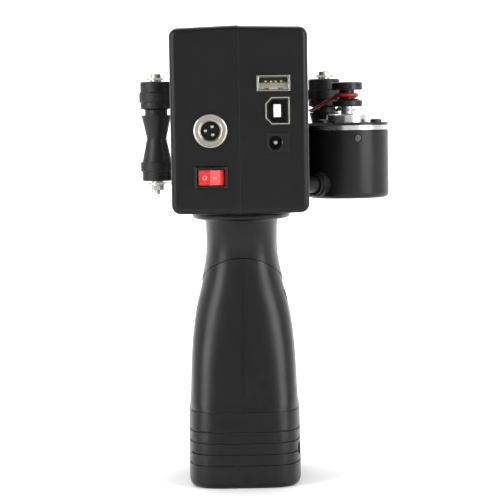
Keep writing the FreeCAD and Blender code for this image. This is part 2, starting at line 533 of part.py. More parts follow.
# sensor socket
sx_, sz_ = SOCKET
sock = cyl(7.55, (sx_, -47.6, sz_), (0, 1, 0), 1.6)
sock = fillet_try(sock, (0.45,), [e for e in sock.Edges if len(e.Vertexes) == 1 and e.CenterOfMass.y < -47])
sock = sock.fuse(cyl(6.0, (sx_, -46.1, sz_), (0, 1, 0), 11.1)).removeSplitter()
sock = sock.cut(cyl(4.5, (sx_, -50, sz_), (0, 1, 0), 20))
sock = sock.cut(cone(4.9, 4.5, (sx_, -47.61, sz_), (0, 1, 0), 0.4))
ka = math.radians(120)
sock = sock.cut(box(-0.6, 0.6, -48, -43.4, 4.0, 5.3).translate(V(0, 0, 0)).rotate(V(0, 0, 0), V(0, 1, 0), -30).translate(V(sx_, 0, sz_)))
save("sensor_socket_shell", sock)
ins = cyl(4.5, (sx_, -43.6, sz_), (0, 1, 0), 8.2)
pins = []
for px, pz_ in SOCKET_PINS:
    ins = ins.cut(cyl(0.75, (px, -48, pz_), (0, 1, 0), 20))
    p_ = cyl(0.75, (px, -46.4, pz_), (0, 1, 0), 13.5)
    p_ = fillet_try(p_, (0.35,), [e for e in p_.Edges if len(e.Vertexes) == 1 and e.CenterOfMass.y < -46])
    pins.append(p_)
save("sensor_socket_insulator", ins)
save("sensor_socket_pins", comp(*pins))
nut = prism([(sx_ + 8.1 * math.cos(math.radians(60 * k)), -43.4, sz_ + 8.1 * math.sin(math.radians(60 * k))) for k in range(6)], (0, 2.2, 0))
save("sensor_socket_nut", nut.cut(cyl(6.0, (sx_, -50, sz_), (0, 1, 0), 20)))

# rocker switch
wx, wz = SWITCH
RP_Y = -45.2
ROCK_TILT = -10.0        # left end pressed: off
bez = Part.makeLoft([Part.makePolygon([V(wx + a * (7.6 - g), yy, wz + b * (5.25 - g * 0.8)) for a, b in ((-1, -1), (1, -1), (1, 1), (-1, 1), (-1, -1))])
                     for yy, g in ((-46.0, 0.0), (-46.7, 0.15), (-47.6, 1.1))], True, True)
bez = bez.fuse(box(wx - 6.9, wx + 6.9, -46.1, -31.0, wz - 4.5, wz + 4.5)).removeSplitter()
bez = bez.cut(box(wx - 6.25, wx + 6.25, -50, -45.6, wz - 3.6, wz + 3.6))
bez = bez.cut(box(wx - 6.5, wx + 6.5, -45.7, -37.5, wz - 3.6, wz + 3.6))
bez = bez.cut(cyl(0.86, (wx, RP_Y, wz - 4.1), (0, 0, 1), 8.2))
save("switch_housing", bez.removeSplitter())
rk_pts = [(-6.3, -1.0), (-5.05, -3.55), (0, -2.55), (5.05, -3.55), (6.3, -1.0), (4.6, 2.6), (1.6, 5.2), (-1.6, 5.2), (-4.6, 2.6)]
rk = prism([(wx + a, RP_Y + b, wz - 3.3) for a, b in rk_pts], (0, 0, 6.6))
rk = rk.common(cyl(5.95, (wx, RP_Y, wz - 5), (0, 0, 1), 10))
rk = rk.fuse(cyl(0.8, (wx, RP_Y, wz - 3.95), (0, 0, 1), 7.9)).removeSplitter()
rk = rk.rotate(V(wx, RP_Y, wz), V(0, 0, 1), ROCK_TILT)
save("power_rocker", rk)

# ---------------------------------------------------------------- screen
glass = rbox(-BOX_HALF_W - 0.0, -BOX_HALF_W + 1.0, SCR[0] + 0.25, SCR[1] - 0.25, SCR[2] + 0.25, SCR[3] - 0.25, 2.8, "x")
save("screen_glass", glass)
save("display_module", box(-BOX_HALF_W + 1.0, -BOX_HALF_W + 5.0, SCR[0] + 4, SCR[1] - 4, SCR[2] + 4, SCR[3] - 4))
pcb = box(-23.0, -21.4, -30.0, 55.0, 138.0, 197.0)
for y, z, dy, dz, h in ((-20, 150, 14, 14, 1.6), (5, 150, 10, 8, 2.4), (28, 172, 12, 12, 1.6), (-8, 180, 18, 8, 2.6)):
    pcb = pcb.fuse(box(-21.45, -21.4 + h, y, y + dy, z, z + dz))
for y, z in ((-27, 141), (52, 141), (-27, 194), (52, 194)):
    pcb = pcb.cut(cyl(1.6, (-30, y, z), (1, 0, 0), 12))
save("main_board", pcb.removeSplitter())

# ---------------------------------------------------------------- cartridge and its bay
hx = CART[1] + 0.5
hold = box(-hx - 1.6, hx + 1.6, -9.0, Y_FRONT - 0.0, CART[4] - 2.1, CART[5] + 1.9)
hold = hold.cut(box(-hx, hx, -7.2, 90, CART[4] - 0.3, CART[5] + 0.3))
hold = hold.cut(box(-40, 40, 8, 58, 148, 184))
hold = hold.cut(box(-10, 10, -12, -5, 150, 186))
save("contact_board", fuse(box(-9.9, 9.9, -10.6, -9.0, 148.5, 188), box(-8, 8, -9.05, -7.2, 151, 185)))
cb = box(CART[0], CART[1], CART[2], 74.0, CART[4], CART[5])
cb = cb.makeFillet(1.2, edges_along(cb, "y"))
cb = fillet_try(cb, (1.0,), [e for e in cb.Edges if all(abs(v.Point.y - CART[2]) < 1e-6 for v in e.Vertexes)])
snout = rbox(-11.0, 11.0, 73.5, 77.2, 146.0, 180.0, 1.5, "y")
grip_rib = box(-12.0, 12.0, 73.5, 77.0, 188.5, 191.0).fuse(box(-12.0, 12.0, 73.5, 77.0, 193.5, 196.0))
cb = fuse(cb, snout, grip_rib)
cb = cb.cut(box(-6.2, 6.2, 76.7, 80, 152.5, 173.5))
save("cartridge_body", cb)
noz = box(-6.2, 6.2, 76.7, 77.3, 152.5, 173.5)
save("nozzle_plate", noz)

# ---------------------------------------------------------------- latch above the bay
lever = cyl(1.25, (-9.2, LP[0], LP[1]), (1, 0, 0), 18.4)
y0_, y1_ = Y_FACE + 0.25, Y_FACE + 2.75
tab = prism([(-9.2, y0_, LP[1]), (-9.2, y1_, LP[1]), (-9.2, y1_, 201.4), (-9.2, y1_ - 0.5, 200.3), (-9.2, y1_ + 0.1, 199.2), (-9.2, y1_ - 0.5, 198.9 + 0.3), (-9.2, y0_, 199.2)], (18.4, 0, 0))
lever = lever.fuse(tab).removeSplitter().cut(cyl(0.76, (-20, LP[0], LP[1]), (1, 0, 0), 40))
save("latch_lever", lever)
save("latch_pin", cyl(0.7, (-11.2, LP[0], LP[1]), (1, 0, 0), 22.4))
save("cartridge_holder", hold.removeSplitter())

# ---------------------------------------------------------------- grip
def section(z, a, yr, yf, n, off=0.0):
    """Closed rounded-oval outline at height z."""
    a, yr, yf = a - off, yr + off, yf - off
    cy, hb = 0.5 * (yr + yf), 0.5 * (yf - yr)
    pts = []
    for k in range(48):
        t = 2 * math.pi * k / 48 - math.pi / 2
        # even spacing round the outline: follow the angle of an ellipse, then push out to the oval
        c, d = math.cos(t), math.sin(t)
        rr = (abs(c) ** n + abs(d) ** n) ** (-1.0 / n)
        pts.append(V(a * rr * c, cy + hb * rr * d, z))
    cv = Part.BSplineCurve()
    cv.interpolate(Points=pts, PeriodicFlag=True)
    return Part.Wire([cv.toShape()])


def loft(rows, off=0.0):
    return Part.makeLoft([section(*r, off=off) for r in rows], True, False)


def at(rows, z):
    rows = sorted(rows)
    for a, b in zip(rows, rows[1:]):
        if a[0] <= z <= b[0]:
            t = (z - a[0]) / (b[0] - a[0])
            return tuple(a[i] + (b[i] - a[i]) * t for i in range(5))
    return rows[0] if z < rows[0][0] else rows[-1]


def arc_z(x):
    return ARC_Z - ARC_DROP * (x / ARC_X) ** 2


def below_arc(shift=0.0):
    """Everything below the neck's parting line, which is an arc seen from the rear and falls to the front."""
    xs = [-32 + 2.0 * k for k in range(33)]
    c = Part.BSplineCurve()
    y0 = -60.0
    up = ARC_SLOPE * (-23.9 - y0)
    c.interpolate([V(x, y0, arc_z(x) + up + shift) for x in xs])
    e = [c.toShape(), Part.makeLine(V(32, y0, arc_z(32) + up + shift), V(32, y0, -20)), Part.makeLine(V(32, y0, -20), V(-32, y0, -20)),
         Part.makeLine(V(-32, y0, -20), V(-32, y0, arc_z(32) + up + shift))]
    f = Part.Face(Part.Wire(Part.__sortEdges__(e)))
    return f.extrude(V(0, 120, -ARC_SLOPE * 120))


WALL_G = 3.2
full_rows = NECK_TOP + GRIP
grip_full = loft(full_rows)
grip_rel = loft(full_rows, off=RELIEF)
grip_lo = loft(BASE)
hollow = loft([(120.0,) + at(full_rows, 120.0)[1:], (115.5,) + at(full_rows, 115.5)[1:]] + GRIP[:-1] + [(30.0,) + at(BASE, 30.0)[1:], (20.0,) + at(BASE, 20.0)[1:], (4.6,) + at(BASE, 4.6)[1:]], off=WALL_G)
below = below_arc(0.0)
above_cut = below_arc(0.3)

# neck with its flare, one moulding; it follows the drafted underside of the head
nf = Part.Face(section(BOX_Z0 - 0.01, *NECK_TOP[0][1:])).extrude(V(0, 0, 1.2))
neck = grip_full.fuse(nf).cut(above_cut).cut(hollow).cut(outer_l).cut(outer_r)
neck = neck.cut(cable_way)
for x, y in FLANGE_SCREWS:
    neck = neck.cut(cyl(1.25, (x, y, 110), (0, 0, 1), 20))
TRG = (98.0, 117.0)
neck = neck.cut(box(-6.0, 6.0, 10, 40, TRG[0], TRG[1]))
neck_solids = sorted(neck.Solids, key=lambda t: -t.Volume)
save("neck", neck_solids[0])
m3 += [pan_screw(2.3, 1.3, 1.25, 6.0, (x, y, BOX_Z0 + WALL + 0.3), (0, 0, -1)) for x, y in FLANGE_SCREWS]
save("m3_screws", comp(*m3))

# handle halves: relief panel on the rear, plain sides
def panel_zone(y1):
    pts = [(-30, -60, PANEL_Z0)]
    zs = [36.9, 38.4, 44.0, 52.0, 60.0, 67.5, 75.0, 82.5, 90.0, 96.0, 110.0]
    side = []
    for z in zs:
        a = at(GRIP, z)[1]
        inset = 1.0 + 1.1 * max(0.0, min(1.0, (90.0 - z) / 50.0))
        if z < 37.5:
            inset += 1.9
        elif z < 40:
            inset += 0.5
        side.append((a - inset, z))
    bottom = side[0][0] - 1.6
    poly = [(-bottom, PANEL_Z0), (bottom, PANEL_Z0)] + side + [(-x, z) for x, z in reversed(side)]
    return prism([(x, -60.0, z) for x, z in poly], (0, 60.0 + y1, 0))


handle = grip_rel.common(below).fuse(grip_full.common(below).common(panel_zone(2.0))).fuse(grip_lo)
handle = handle.cut(hollow)
for gz in GROOVES:
    r = at(BASE, gz)
    ring_in = Part.Face(section(gz - 0.4, *r[1:], off=0.65)).extrude(V(0, 0, 0.8))
    handle = handle.cut(box(-40, 40, -60, 60, gz - 0.4, gz + 0.4).cut(ring_in))
cap = Part.makeLoft([section(0.0, 24.6, -36.8, 36.8, 4.8), section(0.9, 25.5, -37.65, 37.65, 4.8), section(2.1, 25.85, -38.0, 38.0, 4.8)], True, True)
cap_lip = Part.Face(section(2.0, *at(BASE, 5.0)[1:], off=WALL_G + 0.2)).extrude(V(0, 0, 4.0))
cap = cap.fuse(cap_lip).removeSplitter()
handle = handle.cut(box(-40, 40, -60, 60, -1, 2.1)).cut(cap)
# the seam between the halves is a shallow groove
skin_in = loft(full_rows, off=RELIEF + 0.35).fuse(loft(BASE, off=0.4))
seam = box(-0.18, 0.18, -60, 60, 2.1, 110).cut(skin_in)
handle = handle.cut(seam)
room = grip_rel.common(below).fuse(grip_lo).cut(box(-40, 40, -60, 60, -1, 2.1))
hl, hr = handle.common(box(-60, 0, -80, 80, -5, 140)), handle.common(box(0, 60, -80, 80, -5, 140))
GS = ((-9.0, 85.5), (20.0, 44.0), (-24.5, 16.0))
for y, z in GS:
    hl = hl.fuse(cyl(3.2, (-30.0, y, z), (1, 0, 0), 30.0).common(room))
    hr = hr.fuse(cyl(3.4, (0, y, z), (1, 0, 0), 30.0).common(room))
    hl = hl.cut(cyl(1.25, (-10, y, z), (1, 0, 0), 12))
    hr = hr.cut(cyl(1.6, (-1, y, z), (1, 0, 0), 50))
    hr = hr.cut(cyl(3.0, (16.0, y, z), (1, 0, 0), 30))
save("handle_screws", comp(*[pan_screw(2.75, 2.0, 1.25, 22.0, (16.0, y, z), (-1, 0, 0)) for y, z in GS]))
save("handle_left", sorted(hl.Solids, key=lambda t: -t.Volume)[0])
save("handle_right", sorted(hr.Solids, key=lambda t: -t.Volume)[0])
print("loose bits", [round(t.Volume, 3) for t in hl.Solids[1:]], [round(t.Volume, 3) for t in hr.Solids[1:]], [round(t.Volume, 3) for t in neck_solids[1:]])
save("base_cap", cap)

# battery pack in the grip
bat = rbox(-9.6, 9.6, -19.5, 15.5, 7.0, 74.0, 6.0, "z")
save("battery_pack", bat)

# ---------------------------------------------------------------- trigger
TRAVEL = 3.0
t_prof = [(13.0, TRG[0] + 0.4), (13.0, TRG[1] - 0.4), (24.0, TRG[1] - 0.4), (28.6, TRG[1] - 1.0), (27.2, TRG[1] - 5.0), (26.6, 0.5 * (TRG[0] + TRG[1])), (27.2, TRG[0] + 4.5), (29.4, TRG[0] + 0.6), (24.0, TRG[0] + 0.4)]
trg = prism([(-5.7, y, z) for y, z in t_prof], (11.4, 0, 0))
trg = fillet_try(trg, (1.2, 0.8), [e for e in trg.Edges if len(e.Vertexes) == 2 and min(v.Point.y for v in e.Vertexes) > 25.0 and abs(abs(e.Vertexes[0].Point.x) - 5.7) < 1e-6 and abs(e.Vertexes[0].Point.x - e.Vertexes[1].Point.x) < 1e-6])
stop = box(-7.5, 7.5, 13.0, 15.0, TRG[0] + 2.0, TRG[1] - 2.0)
trg = trg.fuse(stop).removeSplitter()
save("trigger", trg)
zt = 0.5 * (TRG[0] + TRG[1])
sw = box(-3.2, 3.2, -4.0, 6.0, zt - 9.5, zt + 9.5)
sw = sw.cut(cyl(1.4, (0, -1.0, zt), (0, 1, 0), 10))
for dz in (-6.0, 6.0):
    sw = sw.cut(cyl(1.2, (-10, 0.0, zt + dz), (1, 0, 0), 20))
save("trigger_switch", sw)
save("trigger_plunger", cyl(1.35, (0, 4.5, zt), (0, 1, 0), 8.5))
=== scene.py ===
import math

import bmesh
import bpy
from mathutils import Matrix, Vector


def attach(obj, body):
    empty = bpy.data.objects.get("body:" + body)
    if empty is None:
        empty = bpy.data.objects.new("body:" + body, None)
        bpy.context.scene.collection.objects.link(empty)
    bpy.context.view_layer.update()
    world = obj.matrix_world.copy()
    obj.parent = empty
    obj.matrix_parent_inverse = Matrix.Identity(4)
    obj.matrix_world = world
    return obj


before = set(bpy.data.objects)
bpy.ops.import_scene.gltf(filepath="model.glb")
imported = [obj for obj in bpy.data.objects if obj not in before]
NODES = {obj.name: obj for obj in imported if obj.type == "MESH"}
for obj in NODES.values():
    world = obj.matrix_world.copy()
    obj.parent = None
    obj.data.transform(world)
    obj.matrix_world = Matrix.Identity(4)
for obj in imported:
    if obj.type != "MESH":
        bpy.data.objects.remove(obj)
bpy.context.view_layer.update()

scene = bpy.context.scene

# ------------------------------------------------------------------ camera
PITCH, ROLL = math.radians(3.83), math.radians(0.95)
CAM = Vector((0.0038, -0.876, 0.1645))
fwd = Vector((0, math.cos(PITCH), -math.sin(PITCH)))
r0 = Vector((1, 0, 0))
u0 = r0.cross(fwd)
right = r0 * math.cos(ROLL) - u0 * math.sin(ROLL)
up = r0 * math.sin(ROLL) + u0 * math.cos(ROLL)
cam_data = bpy.data.cameras.new("camera")
cam = bpy.data.objects.new("camera", cam_data)
scene.collection.objects.link(cam)
cam_data.sensor_width = 36.0
cam_data.lens = 1868.0 / 500.0 * 36.0
m = Matrix((right, up, -fwd)).transposed().to_4x4()
m.translation = CAM
cam.matrix_world = m
scene.camera = cam

# ------------------------------------------------------------------ node helpers
def new_mat(name):
    mat = bpy.data.materials.new(name)
    mat.use_nodes = True
    nt = mat.node_tree
    nt.nodes.clear()
    out = nt.nodes.new("ShaderNodeOutputMaterial")
    bsdf = nt.nodes.new("ShaderNodeBsdfPrincipled")
    nt.links.new(bsdf.outputs["BSDF"], out.inputs["Surface"])
    return mat, nt, bsdf


def node(nt, kind, **inputs):
    n = nt.nodes.new(kind)
    for k, v in inputs.items():
        if k.startswith("_"):
            setattr(n, k[1:], v)
        else:
            n.inputs[k.replace("__", " ")].default_value = v
    return n


def noise(nt, vec, scale, detail=2.0, rough=0.5):
    n = nt.nodes.new("ShaderNodeTexNoise")
    n.inputs["Scale"].default_value = scale
    n.inputs["Detail"].default_value = detail
    n.inputs["Roughness"].default_value = rough
    nt.links.new(vec, n.inputs["Vector"])
    return n.outputs["Fac"]


def ramp(nt, fac, stops):
    r = nt.nodes.new("ShaderNodeValToRGB")
    els = r.color_ramp.elements
    while len(els) < len(stops):
        els.new(0.5)
    for e, (p, c) in zip(els, stops):
        e.position = p
        e.color = (*c, 1.0) if len(c) == 3 else c
    nt.links.new(fac, r.inputs["Fac"])
    return r.outputs["Color"]


def grey(v):
    return (v, v, v)


def maprange(nt, fac, a, b, lo, hi):
    n = nt.nodes.new("ShaderNodeMapRange")
    n.inputs["From Min"].default_value = a
    n.inputs["From Max"].default_value = b
    n.inputs["To Min"].default_value = lo
    n.inputs["To Max"].default_value = hi
    nt.links.new(fac, n.inputs["Value"])
    return n.outputs["Result"]


def bump(nt, height, dist, strength, normal=None):
    b = nt.nodes.new("ShaderNodeBump")
    b.inputs["Strength"].default_value = strength
    b.inputs["Distance"].default_value = dist
    nt.links.new(height, b.inputs["Height"])
    if normal is not None:
        nt.links.new(normal, b.inputs["Normal"])
    return b.outputs["Normal"]


def coords(nt):
    return nt.nodes.new("ShaderNodeTexCoord").outputs["Object"]


def mix(nt, fac, a, b, kind="MIX"):
    n = nt.nodes.new("ShaderNodeMix")
    n.data_type = "RGBA"
    n.blend_type = kind
    if isinstance(fac, float):
        n.inputs[0].default_value = fac
    else:
        nt.links.new(fac, n.inputs[0])
    for s, v in ((6, a), (7, b)):
        if isinstance(v, tuple):
            n.inputs[s].default_value = (*v, 1.0)
        else:
            nt.links.new(v, n.inputs[s])
    return n.outputs[2]


def rounded_normal(nt, radius_mm):
    """Normal with the sharp edges rounded off by a small radius, as moulded and deburred edges are."""
    n = nt.nodes.new("ShaderNodeBevel")
    n.samples = 4
    n.inputs["Radius"].default_value = radius_mm * 0.001
    return n.outputs["Normal"]


def edge_mask(nt, soft, amount):
    """1 on the rounded edges, 0 on the faces."""
    geo = nt.nodes.new("ShaderNodeNewGeometry")
    d = nt.nodes.new("ShaderNodeVectorMath")
    d.operation = "DOT_PRODUCT"
    nt.links.new(soft, d.inputs[0])
    nt.links.new(geo.outputs["Normal"], d.inputs[1])
    return maprange(nt, d.outputs["Value"], 0.995, 0.93, 0.0, amount)


def plastic(name, base, rough=0.45, grain=2600.0, grain_d=0.00004, grain_s=0.35, vary=0.12, spec=0.5, edge=0.35, coat=0.0, round_mm=0.28):
    """Moulded plastic: spark-eroded grain, slow tone drift, and a painted highlight that lightens the colour on the
    rounded edges.
    """
    mat, nt, b = new_mat(name)
    vec = coords(nt)
    slow = noise(nt, vec, 22.0, 3.0)
    mid = noise(nt, vec, 240.0, 4.0, 0.6)
    fine = noise(nt, vec, grain, 2.0, 0.6)
    lo = tuple(c * (1 - vary) for c in base)
    hi = tuple(min(1.0, c * (1 + vary)) for c in base)
    col = ramp(nt, slow, [(0.35, lo), (0.65, hi)])
    soft = rounded_normal(nt, round_mm) if round_mm > 0.0 else None
    # painted highlight: the rounded edges get a lighter colour that stands in for the edge highlights
    if edge > 0.0 and soft is not None:
        edge_highlight_colour = tuple(min(1.0, c * 2.0 + 0.02) for c in base)
        col = mix(nt, edge_mask(nt, soft, edge), col, edge_highlight_colour)
    nt.links.new(col, b.inputs["Base Color"])
    nt.links.new(maprange(nt, mid, 0.3, 0.7, rough - 0.05, rough + 0.06), b.inputs["Roughness"])
    b.inputs["Specular IOR Level"].default_value = spec
    if coat:
        b.inputs["Coat Weight"].default_value = coat
        b.inputs["Coat Roughness"].default_value = 0.12
    nt.links.new(bump(nt, fine, grain_d, grain_s, soft), b.inputs["Normal"])
    return mat


def metal(name, base, rough=0.28, axis="z", lines=900.0, line_s=0.18, vary=0.06, aniso=0.0, metallic=1.0, dirt=0.15):
    """Machined or drawn metal: fine tool lines along one axis, slight tarnish."""
    mat, nt, b = new_mat(name)
    vec = coords(nt)
    mp = nt.nodes.new("ShaderNodeMapping")
    s = {"x": (0.03, 1, 1), "y": (1, 0.03, 1), "z": (1, 1, 0.03), "rz": (0.04, 0.04, 1)}[axis]
    mp.inputs["Scale"].default_value = s
    nt.links.new(vec, mp.inputs["Vector"])
    lines_f = noise(nt, mp.outputs["Vector"], lines, 2.0, 0.6)
    slow = noise(nt, vec, 90.0, 4.0, 0.6)
    lo = tuple(c * (1 - vary - dirt * 0.5) for c in base)
    hi = tuple(min(1.0, c * (1 + vary)) for c in base)
    nt.links.new(ramp(nt, slow, [(0.3, lo), (0.6, hi)]), b.inputs["Base Color"])
    b.inputs["Metallic"].default_value = metallic
    nt.links.new(maprange(nt, lines_f, 0.3, 0.7, rough - 0.06, rough + 0.08), b.inputs["Roughness"])
    nt.links.new(bump(nt, lines_f, 0.00002, line_s, rounded_normal(nt, 0.12)), b.inputs["Normal"])
    return mat


def rubber(name, base, rough=0.62):
    mat, nt, b = new_mat(name)
    vec = coords(nt)
    slow = noise(nt, vec, 60.0, 3.0)
    fine = noise(nt, vec, 1800.0, 3.0, 0.7)
    nt.links.new(ramp(nt, slow, [(0.3, tuple(c * 0.85 for c in base)), (0.7, tuple(min(1, c * 1.15) for c in base))]), b.inputs["Base Color"])
    nt.links.new(maprange(nt, fine, 0.3, 0.7, rough - 0.06, rough + 0.08), b.inputs["Roughness"])
    b.inputs["Specular IOR Level"].default_value = 0.35
    nt.links.new(bump(nt, fine, 0.00004, 0.3), b.inputs["Normal"])
    return mat


M = {}
M["shell"] = plastic("shell_plastic", (0.0030, 0.0030, 0.0032), 0.36, grain=2400.0, grain_s=0.4, spec=0.25)
M["grip"] = plastic("grip_plastic", (0.0022, 0.0022, 0.0025), 0.33, grain=3000.0, grain_s=0.22, spec=0.30, edge=0.0, round_mm=0.0)
M["black"] = plastic("black_plastic", (0.005, 0.005, 0.0055), 0.4, grain=3500.0, grain_s=0.2, spec=0.25)
M["gloss_black"] = plastic("gloss_black_plastic", (0.004, 0.004, 0.0045), 0.2, grain=4000.0, grain_s=0.08, edge=0.15, spec=0.4)
M["roller"] = plastic("roller_plastic", (0.007, 0.007, 0.0075), 0.42, grain=3000.0, grain_s=0.3, spec=0.3)
M["rubber"] = rubber("ring_rubber", (0.006, 0.006, 0.006), 0.5)
M["belt"] = rubber("belt_rubber", (0.44, 0.012, 0.010), 0.3)
M["bracket"] = plastic("bracket_paint", (0.006, 0.006, 0.0065), 0.35, grain=5000.0, grain_s=0.2, edge=0.6, spec=0.3)
M["stainless"] = metal("stainless_plate", (0.36, 0.36, 0.355), 0.34, "x", lines=1400.0, line_s=0.3, vary=0.03, dirt=0.04)
M["zinc"] = metal("zinc_plate", (0.56, 0.55, 0.52), 0.28, "z", lines=1500.0, dirt=0.08)
M["black_oxide"] = metal("black_oxide", (0.045, 0.045, 0.047), 0.34, "z", metallic=0.9)
M["steel_dark"] = metal("dark_steel", (0.11, 0.11, 0.11), 0.3, "z")
M["alu_turned"] = metal("turned_aluminium", (0.68, 0.68, 0.68), 0.24, "rz", lines=2600.0, line_s=0.3)
M["encoder_black"] = plastic("encoder_black", (0.005, 0.005, 0.0055), 0.33, grain=5200.0, grain_s=0.16, spec=0.3)
M["pulley_black"] = plastic("pulley_black", (0.006, 0.006, 0.0065), 0.3, grain=5200.0, grain_s=0.1, spec=0.35)
M["chrome"] = metal("nickel_shell", (0.50, 0.475, 0.43), 0.16, "y", lines=1200.0, line_s=0.08, dirt=0.1)
M["white"] = plastic("white_insert", (0.74, 0.74, 0.72), 0.42, grain=3000.0, grain_s=0.1, edge=0.0, vary=0.04)
M["red"] = plastic("rocker_red", (0.50, 0.006, 0.004), 0.28, grain=4200.0, grain_s=0.1, edge=0.05, vary=0.06, coat=0.25)
M["brass"] = metal("gold_contact", (0.78, 0.60, 0.28), 0.24, "y", lines=1500.0, line_s=0.08)
M["pcb"] = plastic("pcb_green", (0.02, 0.11, 0.045), 0.3, grain=1200.0, grain_s=0.15, edge=0.0)
M["screen"] = plastic("screen_glass", (0.006, 0.006, 0.008), 0.06, grain=200.0, grain_s=0.0, edge=0.0, vary=0.05)
M["battery"] = plastic("battery_wrap", (0.02, 0.07, 0.30), 0.3, grain=900.0, grain_s=0.2, edge=0.0)
M["cartridge"] = plastic("cartridge_plastic", (0.022, 0.022, 0.024), 0.4, grain=2600.0, grain_s=0.3)
M["white_ink"] = plastic("white_ink", (0.80, 0.80, 0.78), 0.5, grain=5000.0, grain_s=0.05, edge=0.0, vary=0.03)
M["clear"] = plastic("disc_film", (0.35, 0.38, 0.40), 0.12, grain=900.0, grain_s=0.0, edge=0.0)

USE = {
    "left_shell": "shell", "right_shell": "shell", "neck": "grip", "neck_flange": "shell", "handle_left": "grip", "handle_right": "grip", "grip_sleeve": "grip",
    "base_cap": "grip", "front_plate": "stainless", "left_bracket": "zinc", "right_bracket": "zinc", "encoder_plate": "bracket",
    "left_roller_core": "roller", "right_roller_core": "roller", "left_roller_rings": "rubber", "right_roller_rings": "rubber",
    "axle_screws": "zinc", "axle_washers": "zinc", "axle_nuts": "zinc", "m3_screws": "black_oxide", "shell_screws": "black_oxide", "handle_screws": "black_oxide",
    "encoder_base": "alu_turned", "encoder_cover": "encoder_black", "encoder_cover_screws": "steel_dark", "encoder_mount_screws": "black_oxide",
    "encoder_bearings": "stainless", "encoder_shaft": "alu_turned", "encoder_pulley": "pulley_black", "pulley_set_screw": "black_oxide", "encoder_disc": "clear",
    "encoder_board": "pcb", "cable_gland": "black", "encoder_lead": "black", "lead_grommet": "rubber", "drive_belt": "belt",
    "usb_a_shell": "chrome", "usb_a_tongue": "black", "usb_b_shell": "chrome", "usb_b_tongue": "white", "dc_jack_body": "black", "dc_jack_pin": "chrome",
    "sensor_socket_shell": "chrome", "sensor_socket_insulator": "black", "sensor_socket_pins": "chrome", "sensor_socket_nut": "chrome",
    "switch_housing": "gloss_black", "power_rocker": "red", "screen_glass": "screen", "display_module": "gloss_black", "main_board": "pcb",
    "cartridge_holder": "black", "contact_board": "pcb", "cartridge_body": "cartridge", "nozzle_plate": "brass", "latch_lever": "stainless", "latch_pin": "stainless",
    "battery_pack": "battery", "trigger": "gloss_black", "trigger_switch": "black", "trigger_plunger": "red",
}
for name, ob in NODES.items():
    ob.data.materials.clear()
    ob.data.materials.append(M[USE[name]])

# ------------------------------------------------------------------ extra detail
MM = 0.001


def link(ob):
    scene.collection.objects.link(ob)
    return ob


def piece(name, bm, mat, body, smooth=40.0, bevel=0.0):
    """A visual piece in row coordinates (bm is in millimetres) that rides on a CAD body."""
    bmesh.ops.scale(bm, vec=(MM, MM, MM), verts=bm.verts)
    bmesh.ops.recalc_face_normals(bm, faces=bm.faces)
    me = bpy.data.meshes.new(name)
    bm.to_mesh(me)
    bm.free()
    me.materials.append(M[mat])
    ob = link(bpy.data.objects.new(name, me))
    if bevel:
        md = ob.modifiers.new("bevel", "BEVEL")
        md.width = bevel * MM
        md.segments = 3
        md.limit_method = "ANGLE"
        md.angle_limit = math.radians(35)
    for p in me.polygons:
        p.use_smooth = True
    if hasattr(me, "set_sharp_from_angle"):
        me.set_sharp_from_angle(angle=math.radians(smooth))
    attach(ob, body)
    return ob


def add_prism(bm, loop, vec):
    """Solid between a flat loop of points and the same loop moved by vec."""
    v = Vector(vec)
    lo = [bm.verts.new(p) for p in loop]
    hi = [bm.verts.new(Vector(p) + v) for p in loop]
    n = len(loop)
    bm.faces.new(lo[::-1])
    bm.faces.new(hi)
    for i in range(n):
        j = (i + 1) % n
        bm.faces.new((lo[i], lo[j], hi[j], hi[i]))


def basis(axis, ref=(0, 0, 1)):
    w = Vector(axis).normalized()
    r = Vector(ref)
    if abs(w.dot(r)) > 0.95:
        r = Vector((1, 0, 0))
    u = (r - w * r.dot(w)).normalized()
    return u, w.cross(u), w


def add_lathe(bm, prof, centre, axis, segs=48, close=True):
    """Solid of revolution: prof is (radius, height) pairs round the axis; closed ring if close."""
    u, v, w = basis(axis)
    c = Vector(centre)
    rings = []
    for k in range(segs):
        a = 2 * math.pi * k / segs
        d = u * math.cos(a) + v * math.sin(a)
        rings.append([bm.verts.new(c + d * r + w * h) for r, h in prof])
    n = len(prof)
    for k in range(segs):
        a, b = rings[k], rings[(k + 1) % segs]
        for i in range(n if close else n - 1):
            j = (i + 1) % n
            bm.faces.new((a[i], a[j], b[j], b[i]))


def torus_prof(rad, h, r, n=10):
    return [(rad + r * math.cos(2 * math.pi * k / n), h + r * math.sin(2 * math.pi * k / n)) for k in range(n)]


def add_thread(bm, centre, axis, r0, r1, pitch, length, segs=26):
    """Helical V thread standing on a bar of radius r0, crest radius r1."""
    u, v, w = basis(axis)
    c = Vector(centre)
    steps = int(length / pitch * segs)
    rows = []
    for k in range(steps + 1):
        a = 2 * math.pi * k / segs
        z = length * k / steps
        d = u * math.cos(a) + v * math.sin(a)
        t = min(1.0, k / segs * 2, (steps - k) / segs * 2)
        rc = r0 - 0.05 + (r1 - r0 + 0.05) * max(0.12, t)
        rows.append([bm.verts.new(c + d * (r0 - 0.06) + w * (z - pitch * 0.42)), bm.verts.new(c + d * rc + w * (z - pitch * 0.06)),
                     bm.verts.new(c + d * rc + w * (z + pitch * 0.06)), bm.verts.new(c + d * (r0 - 0.06) + w * (z + pitch * 0.42))])
    for a, b in zip(rows, rows[1:]):
        for i in range(4):
            j = (i + 1) % 4
            bm.faces.new((a[i], a[j], b[j], b[i]))
    bm.faces.new(rows[0][::-1])
    bm.faces.new(rows[-1])


